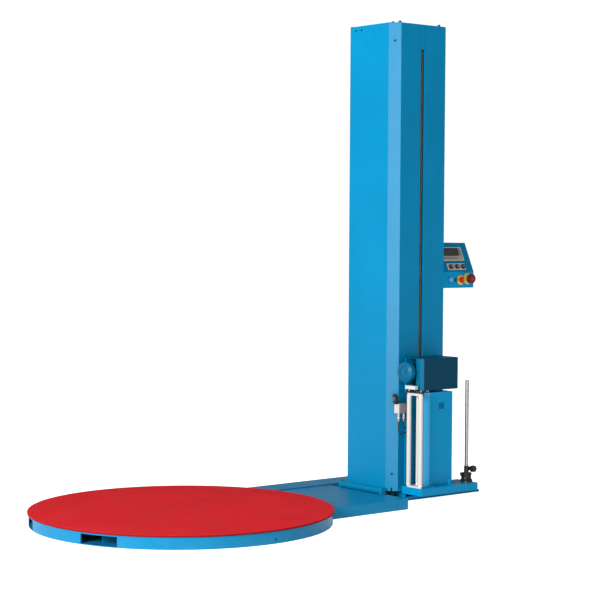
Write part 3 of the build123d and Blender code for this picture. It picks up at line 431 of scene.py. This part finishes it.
# nodes with a finish of their own; zones pick out faces of one part by where they lie, and some
# zones hold painted light or shade
node_finishes = {
    "film_roller_a": zoned("roller_a_finish", ROLLER_WHITE, ROLLER_ZONES),
    "film_roller_b": zoned("roller_b_finish", ROLLER_WHITE, ROLLER_ZONES),
    "film_roller_c": zoned("roller_c_finish", ROLLER_WHITE, ROLLER_ZONES),
    "height_sensor": zoned("sensor_finish", (WHITE, 0.0, 0.4), [
        ((None, -0.2141, None), (None, None, None), BLUE, 0.0, 0.35),
        ((1.2108, None, 0.4781), (None, -0.2515, 0.5271), (0.22, 0.22, 0.22), 0.0, 0.4),
        ((None, None, None), (None, -0.2141, 0.4781), STEEL, 1.0, 0.25),
        ((None, None, 0.5271), (1.2165, -0.2141, None), BLACK, 0.0, 0.3),
    ]),
    "head_cover": zoned("head_paint_and_painted_light", ((0.0, 0.042, 0.085), 0.0, 0.3), [
        # painted light: the left end face and the bevelled front-left corner get a lighter blue
        # than the dark front
        ((None, None, None), (1.2785, None, None), (0.0, 0.11, 0.21), 0.0, 0.3),
        ((None, None, None), (1.2932, -0.3352, None), (0.0, 0.11, 0.21), 0.0, 0.3),
    ], gloss=0.1),
    "body_cover": zoned("body_paint_and_painted_shade", (shade(BLUE, 1.3), 0.0, 0.3), [
        # painted shade: the left end face, below x 1.3084, is a darker blue
        ((None, None, None), (1.3084, None, None), (0.0, 0.065, 0.13), 0.0, 0.3),
        ((1.400, None, 0.500), (1.436, -0.3512, 0.531), (0.0, 0.05, 0.13), 0.0, 0.3),
        ((1.404, None, 0.504), (1.432, -0.3512, 0.512), (0.0, 0.16, 0.34), 0.0, 0.3),
        ((1.404, None, 0.519), (1.432, -0.3512, 0.527), (0.0, 0.16, 0.34), 0.0, 0.3),
    ], gloss=0.1, band=BODY_BEVEL),
    "carriage_frame": zoned("carriage_frame_paint_and_painted_light", (shade(BLUE, 1.2), 0.0, 0.3), [
        # painted light: the angle brackets at the body's foot are a lighter copy of the blue
        ((None, -0.3785, 0.0952), (None, -0.3505, 0.1260), shade(BLUE, 1.7), 0.0, 0.3),
        ((None, -0.3725, 0.0992), (None, -0.3615, 0.1060), (0.02, 0.05, 0.07), 0.0, 0.3),
    ], gloss=0.1),
    "front_cover": paint("mast_cover_finish", BLUE, dust=0.05, band=MAST_BEVEL),
    # painted shade: the fan cowl is a darker copy of the blue, for the shade it sits in
    "fan_cover": paint("fan_cover_painted_shade", shade(BLUE, 0.62)),
    "plate_screws": paint("plate_screws_finish", (0.36, 0.012, 0.018), rough=0.4, gloss=0.05),
    "table_gearmotor": paint("table_gearmotor_finish", (0.05, 0.055, 0.06), gloss=0.3),
    "cover_screws": paint("dark_screws", (0.004, 0.02, 0.032), rough=0.3),
    "base_screws": paint("dark_base_screws", (0.01, 0.05, 0.08), rough=0.3),
    "head_motor": paint("head_motor_finish", (0.0, 0.05, 0.09)),
    "hinge_shaft": paint("hinge_shaft_finish", shade(BLUE, 0.8)),
    "mast_frame": zoned("mast_frame_paint_and_painted_light", ((0.0, 0.04, 0.075), 0.0, 0.4), [
        ((None, None, None), (1.2005, None, 0.12), shade(BLUE, 0.85), 0.0, 0.25),
        # painted light: the parts under 0.075 m, right of the hinge tube, are a lighter copy of the
        # blue in place of the shade under the mast
        ((1.2005, None, None), (None, None, 0.075), shade(BLUE, 1.3), 0.0, 0.3),
    ], gloss=0.1),
    "core_hub": paint("core_hub_finish", (0.010, 0.011, 0.011), gloss=0.3),
    "brake_knob": paint("brake_knob_finish", (0.010, 0.011, 0.011), gloss=0.3),
    "estop_head": zoned("estop_finish", ((0.10, 0.006, 0.012), 0.0, 0.35), [
        ((1.836, None, 1.158), (1.864, -0.1428, 1.186), (0.26, 0.02, 0.04), 0.0, 0.35),
    ]),
    "console_panel": zoned("console_panel_paint_and_painted_light", (BLUE, 0.0, 0.3), [
        # painted light: the face below the bend is a lighter copy of the blue
        ((None, None, None), (None, None, 1.2112), shade(BLUE, 1.6), 0.0, 0.3),
    ], gloss=0.1),
    "hmi_unit": zoned("hmi_finish", ((0.37, 0.33, 0.29), 0.0, 0.5), [
        ((1.668, -0.0705, 1.301), (1.822, None, 1.352), (0.05, 0.05, 0.045), 0.0, 0.4),
    ]),
    "spindle": zoned("spindle_finish", (STEEL, 1.0, 0.25), [
        ((None, None, 0.1465), (None, None, 0.1825), BLACK, 0.0, 0.25),
    ]),
}


SOFT_EDGE = 0.0008
SHARP_ANGLE = radians(35)      # CAD edges sharper than this are softened
CREASE_ANGLE = radians(32)     # pieces are smooth up to this


def dress_frame():
    """Gives every CAD node its own finish or its slot's, and rounds its sharp edges a little."""
    for name, node in frame["nodes"].items():
        node.data.materials.clear()
        node.data.materials.append(node_finishes.get(name, finishes[node_slots[name]]))
        bevel = node.modifiers.new("soft_edges", "BEVEL")
        bevel.width = SOFT_EDGE
        bevel.segments = 2
        bevel.limit_method = "ANGLE"
        bevel.angle_limit = SHARP_ANGLE


dress_frame()


# ---------------------------------------------------------------- pieces
def finish_piece(name, mesh_data, material, body, smooth=True):
    """Turns a bmesh into a named piece that rides on a body and wears the given material."""
    mesh = bpy.data.meshes.new(name)
    bmesh.ops.recalc_face_normals(mesh_data, faces=mesh_data.faces)
    mesh_data.to_mesh(mesh)
    mesh_data.free()
    piece = bpy.data.objects.new(name, mesh)
    bpy.context.scene.collection.objects.link(piece)
    mesh.materials.append(material)
    if smooth:
        mesh.shade_smooth()
        split = piece.modifiers.new("crisp_edges", "EDGE_SPLIT")
        split.split_angle = CREASE_ANGLE
    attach(piece, body)
    return piece


def add_prism(data, outline, place, low, high):
    """Adds a closed prism: outline in place's x and y, from low to high along its z."""
    count = len(outline)
    rings = [[data.verts.new(place @ Vector((x, y, z))) for x, y in outline] for z in (low, high)]
    data.faces.new(rings[0][::-1])
    data.faces.new(rings[1])
    for i in range(count):
        j = (i + 1) % count
        data.faces.new((rings[0][i], rings[0][j], rings[1][j], rings[1][i]))


def add_lathe(data, profile, place, steps=32):
    """Adds a turned form from (radius, height) points round place's z; radius 0 closes an end."""
    rings = []
    for radius, height in profile:
        if radius == 0:
            rings.append([data.verts.new(place @ Vector((0, 0, height)))])
            continue
        rings.append([
            data.verts.new(place @ Vector((
                radius * cos(2 * pi * k / steps), radius * sin(2 * pi * k / steps), height,
            )))
            for k in range(steps)
        ])
    for lower, upper in zip(rings, rings[1:]):
        for k in range(steps):
            j = (k + 1) % steps
            corners = [
                lower[k % len(lower)], lower[j % len(lower)],
                upper[j % len(upper)], upper[k % len(upper)],
            ]
            unique = list(dict.fromkeys(corners))
            if len(unique) > 2:
                data.faces.new(unique)


def rounded(width, height, radius, steps=5):
    """A rectangle's outline with round corners, centred on the origin."""
    points = []
    for corner, (sx, sy) in enumerate(((1, 1), (-1, 1), (-1, -1), (1, -1))):
        for k in range(steps + 1):
            angle = (corner + k / steps) * pi / 2
            points.append((
                sx * (width / 2 - radius) + radius * cos(angle),
                sy * (height / 2 - radius) + radius * sin(angle),
            ))
    return points


def spot(origin, x_dir, z_dir):
    """The placing matrix of a plane with that origin, x direction and outward direction."""
    x_axis = Vector(x_dir).normalized()
    z_axis = Vector(z_dir).normalized()
    y_axis = z_axis.cross(x_axis)
    turn = Matrix((x_axis, y_axis, z_axis)).transposed()
    return Matrix.Translation(Vector(origin)) @ turn.to_4x4()


# ------------------------------------------------ roller chains
CHAIN_PITCH = 0.015875         # five eighths of an inch
LIFT_BAND, DRIVE_BAND = 0.00625, 0.004         # from the CAD bands' outer faces to the pins
LIFT_TURN_STEPS = 24
DRIVE_TURN_STEPS = 60


def loop_points(path, count):
    """count places at equal steps along a closed path."""
    lengths = [(path[(i + 1) % len(path)] - path[i]).length for i in range(len(path))]
    step = sum(lengths) / count
    spots = []
    leg = 0
    behind = 0.0
    for number in range(count):
        along = number * step
        while along > behind + lengths[leg]:
            behind += lengths[leg]
            leg += 1
        start, end = path[leg], path[(leg + 1) % len(path)]
        spots.append(start.lerp(end, (along - behind) / lengths[leg]))
    return spots


def half_round(centre, radius, start, steps=6):
    """Points of a half circle in a link's plane, centred along the link's length."""
    angles = [start + pi * k / steps for k in range(steps + 1)]
    return [(centre + radius * cos(angle), radius * sin(angle)) for angle in angles]


def roller_chain(name, node, path, across, width, plate_high):
    """A roller chain along a closed path: side plates in pairs, and a roller at each pin."""
    total = sum((path[(i + 1) % len(path)] - path[i]).length for i in range(len(path)))
    count = 2 * round(total / CHAIN_PITCH / 2)
    spots = loop_points(path, count)
    data = bmesh.new()
    half = plate_high / 2
    plate_t = width * 0.14
    for number, here in enumerate(spots):
        there = spots[(number + 1) % count]
        ahead = (there - here).normalized()
        place = spot(here, ahead, across)
        reach = (there - here).length
        plate = half_round(0, half, pi / 2) + [(reach / 2, -half * 0.7)]
        plate += half_round(reach, half, -pi / 2) + [(reach / 2, half * 0.7)]
        # outer plates on every other link, inner plates on the rest
        gap = 0.5 * width - plate_t if number % 2 else 0.5 * width - 2.1 * plate_t
        for side in (-1, 1):
            low, high = sorted((side * gap, side * (gap + plate_t * 0.95)))
            add_prism(data, plate, place, low, high)
        roller = half_round(0, half * 0.66, 0, 5)[:-1] + half_round(0, half * 0.66, pi, 5)[:-1]
        add_prism(data, roller, place, -0.5 * width + 2.2 * plate_t, 0.5 * width - 2.2 * plate_t)
    body = body_of(frame["nodes"][node])[0]
    piece = finish_piece(
        name, data, finishes["chain_steel"], body, smooth=False
    )
    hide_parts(node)


def lift_path():
    """The hoisting chain's line: two upright runs and a half turn over each sprocket."""
    low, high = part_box("lift_chain")
    radius = (high[0] - low[0]) / 2 - LIFT_BAND
    middle_x = (high[0] + low[0]) / 2
    y = (high[1] + low[1]) / 2
    ends = (high[2] - LIFT_BAND - radius, low[2] + LIFT_BAND + radius)
    points = []
    for end, start in zip(ends, (0, pi)):
        for k in range(LIFT_TURN_STEPS + 1):
            angle = start + pi * k / LIFT_TURN_STEPS
            points.append(Vector((middle_x + radius * cos(angle), y, end + radius * sin(angle))))
    return points


def drive_path():
    """The turntable chain's line round its large and small sprockets."""
    low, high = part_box("drive_chain")
    large = (high[1] - low[1]) / 2 - DRIVE_BAND
    z = (high[2] + low[2]) / 2
    small_low, small_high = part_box("drive_sprocket")
    small_x = (small_low[0] + small_high[0]) / 2
    small = high[0] - DRIVE_BAND - small_x
    wrap = pi / 2 + asin((large - small) / small_x)
    points = []
    for centre, radius, start, sweep in (
        (0.0, large, pi - wrap, 2 * wrap), (small_x, small, wrap - pi, 2 * (pi - wrap)),
    ):
        for k in range(DRIVE_TURN_STEPS + 1):
            angle = start + sweep * k / DRIVE_TURN_STEPS
            points.append(Vector((centre + radius * cos(angle), radius * sin(angle), z)))
    return points


roller_chain("lift_chain_links", "lift_chain", lift_path(), (0, 1, 0), 0.0076, 0.0122)
roller_chain("drive_chain_links", "drive_chain", drive_path(), (0, 0, 1), 0.0058, 0.0076)


# ------------------------------------------------ console
BUTTON_PLACES = (("start_button", 1.733), ("stop_button", 1.779), ("pause_button", 1.825))
BUTTON_UP = 0.029              # the button row, up the slope from the console's bend
BUTTON_CAP_TOP = 0.0125        # the caps' tops, off the slope
DISPLAY_FACE = 0.006           # the display's face, off the slope
STRIP_FACE = 0.003             # the button strip's face, off the slope
BEND_Z = 1.211
SLOPE_TOP = Vector((0.0, -0.028, 1.369))
SLOPE_FOOT = Vector((0.0, -0.100, BEND_Z))
SLOPE_UP = (SLOPE_TOP - SLOPE_FOOT).normalized()
SLOPE_OUT = SLOPE_UP.cross(Vector((-1, 0, 0)))


def on_slope(x, up, lift):
    """A plane on the console's sloping face, up metres above its bend and lift metres off it."""
    place = SLOPE_FOOT + SLOPE_UP * up + SLOPE_OUT * lift + Vector((x, 0, 0))
    return spot(place, (1, 0, 0), SLOPE_OUT)


def crowned_plate(data, width, height, radius, place, thick, crown=0.0006):
    """Adds a thin plate with round corners and a softened upper edge."""
    add_prism(data, rounded(width, height, radius), place, 0.0, thick - crown)
    narrow = rounded(width - 2 * crown, height - 2 * crown, radius)
    add_prism(data, narrow, place, thick - crown, thick)


def console_pieces():
    """The display's glass and keys, and the buttons' rings and inserts."""
    glass = plastic("screen_glass", (0.028, 0.033, 0.030), rough=0.12, coat=0.6)
    data = bmesh.new()
    crowned_plate(data, 0.136, 0.040, 0.0015, on_slope(1.745, 0.113, 0.0042), 0.0012, 0.0003)
    finish_piece("hmi_glass", data, glass, "mast")
    data = bmesh.new()
    for k in range(8):
        place = on_slope(1.6835 + 0.0165 * k, 0.0780, DISPLAY_FACE)
        crowned_plate(data, 0.012, 0.009, 0.0015, place, 0.0010)
    for k in range(4):
        place = on_slope(1.831, 0.0985 + 0.0125 * k, DISPLAY_FACE)
        crowned_plate(data, 0.013, 0.010, 0.0015, place, 0.0010)
    keys = plastic("key_grey", (0.20, 0.19, 0.18), rough=0.45)
    finish_piece("hmi_keys", data, keys, "mast")
    data = bmesh.new()
    for _, x in BUTTON_PLACES:
        place = on_slope(x, BUTTON_UP, STRIP_FACE)
        add_lathe(data, [
            (0.0116, 0.0), (0.0146, 0.0), (0.0146, 0.0014), (0.0135, 0.0024), (0.0116, 0.0024),
            (0.0116, 0.0),
        ], place)
    finish_piece("button_rings", data, finishes["black_plastic"], "mast")
    insert = plastic("cap_insert", (0.45, 0.46, 0.44), rough=0.4)
    for name, x in BUTTON_PLACES:
        centre = on_slope(x, BUTTON_UP, BUTTON_CAP_TOP)
        data = bmesh.new()
        add_lathe(data, [
            (0, -0.0005), (0.0042, -0.0005), (0.0042, 0.0001), (0.0036, 0.0003), (0, 0.0003),
        ], centre)
        finish_piece(name + "_insert", data, insert, name + "_body")


console_pieces()


def lock_pieces():
    """The key lock between the reset lamp and the main switch: a collar with a blank barrel."""
    data = bmesh.new()
    place = spot((1.764, -0.1000, 1.166), (1, 0, 0), (0, -1, 0))
    add_lathe(data, [
        (0, 0.0), (0.0105, 0.0), (0.0105, 0.0050), (0.0088, 0.0072), (0, 0.0072),
    ], place)
    finish_piece("lock_collar", data, finishes["black_plastic"], "mast")
    data = bmesh.new()
    add_lathe(data, [
        (0, 0.0066), (0.0062, 0.0070), (0.0062, 0.0080), (0.0052, 0.0086), (0, 0.0086),
    ], place)
    barrel = plastic("lock_green", (0.10, 0.22, 0.12), rough=0.35)
    finish_piece("lock_barrel", data, barrel, "mast")


def panel_rims():
    """Thin light rims round the display and the button strip."""
    data = bmesh.new()
    for middle_x, up, width, height, lift in (
        (1.753, 0.104, 0.186, 0.080, DISPLAY_FACE),
        (1.774, BUTTON_UP, 0.134, 0.038, STRIP_FACE),
    ):
        outer = rounded(width - 0.0010, height - 0.0010, 0.0035)
        inner = rounded(width - 0.0060, height - 0.0060, 0.0020)
        place = on_slope(middle_x, up, lift)
        rings = [
            [data.verts.new(place @ Vector((x, y, z))) for x, y in outline]
            for outline, z in ((outer, -0.0004), (outer, 0.0005), (inner, 0.0005), (inner, -0.0004))
        ]
        for first, second in zip(rings, rings[1:] + rings[:1]):
            for k in range(len(first)):
                j = (k + 1) % len(first)
                data.faces.new((first[k], first[j], second[j], second[k]))
    rim = plastic("rim_light", (0.74, 0.78, 0.70), rough=0.4)
    finish_piece("panel_rims", data, rim, "mast")


lock_pieces()
panel_rims()


# ------------------------------------------------ film carriage
def carriage_pieces():
    """The photocell's lens, the plug nuts, the rollers' end rings and the fan cowl's slots."""
    data = bmesh.new()
    aim = Vector((-0.98, 0.19, 0)).normalized()
    # the lens stands on the photocell's front face, a little sunk in
    place = spot(Vector((1.205, -0.232, 0.559)) + aim * 0.0127, (0, 0, 1), aim)
    add_lathe(data, [
        (0, 0.0022), (0.006, 0.0021), (0.011, 0.0017), (0.0145, 0.0008), (0.0145, 0.0), (0, 0.0),
    ], place)
    lens = plastic("lens_glass", (0.02, 0.008, 0.010), rough=0.08, coat=1.0)
    finish_piece("photocell_lens", data, lens, "carriage")
    data = bmesh.new()
    for x in (1.221, 1.257):
        for level in (0.449, 0.462):
            place = spot((x, -0.236, level), (1, 0, 0), (0, 0, 1))
            radii = [0.0079 if k % 2 else 0.0086 for k in range(24)]
            knurl = [(r * cos(pi * k / 12), r * sin(pi * k / 12)) for k, r in enumerate(radii)]
            add_prism(data, knurl, place, 0.0, 0.009)
    finish_piece("plug_nuts", data, finishes["zinc"], "carriage")
    # a moulded ring at each end of every film roller
    for letter in "abc":
        node = "film_roller_" + letter
        low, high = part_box(node)
        middle = (Vector(low) + Vector(high)) / 2
        data = bmesh.new()
        for level, inward in ((SLEEVE_LOW, 1), (SLEEVE_HIGH, -1)):
            place = spot((middle.x, middle.y, level), (1, 0, 0), (0, 0, inward))
            add_lathe(data, [
                (0.0052, 0.0066), (0.0052, -0.0006), (0.0100, -0.0006), (0.01215, 0.0004),
                (0.01225, 0.0060), (0.0119, 0.0066), (0.0052, 0.0066),
            ], place)
        finish_piece(
            f"roller_caps_{letter}", data, finishes["nylon"], f"roller_{letter}_body"
        )
    # radial air slots in the fan cowl's front
    low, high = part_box("fan_cover")
    centre = (Vector(low) + Vector(high)) / 2
    data = bmesh.new()
    for k in range(24):
        angle = 2 * pi * k / 24
        radial = Vector((0, cos(angle), sin(angle)))
        start = Vector((low[0], centre.y, centre.z)) + radial * 0.0320 + Vector((0.00085, 0, 0))
        place = spot(start, radial, (-1, 0, 0.0))
        add_prism(data, rounded(0.011, 0.0026, 0.0012, 3), place, -0.0006, 0.0007)
    finish_piece("fan_slots", data, finishes["black_plastic"], "carriage")


carriage_pieces()
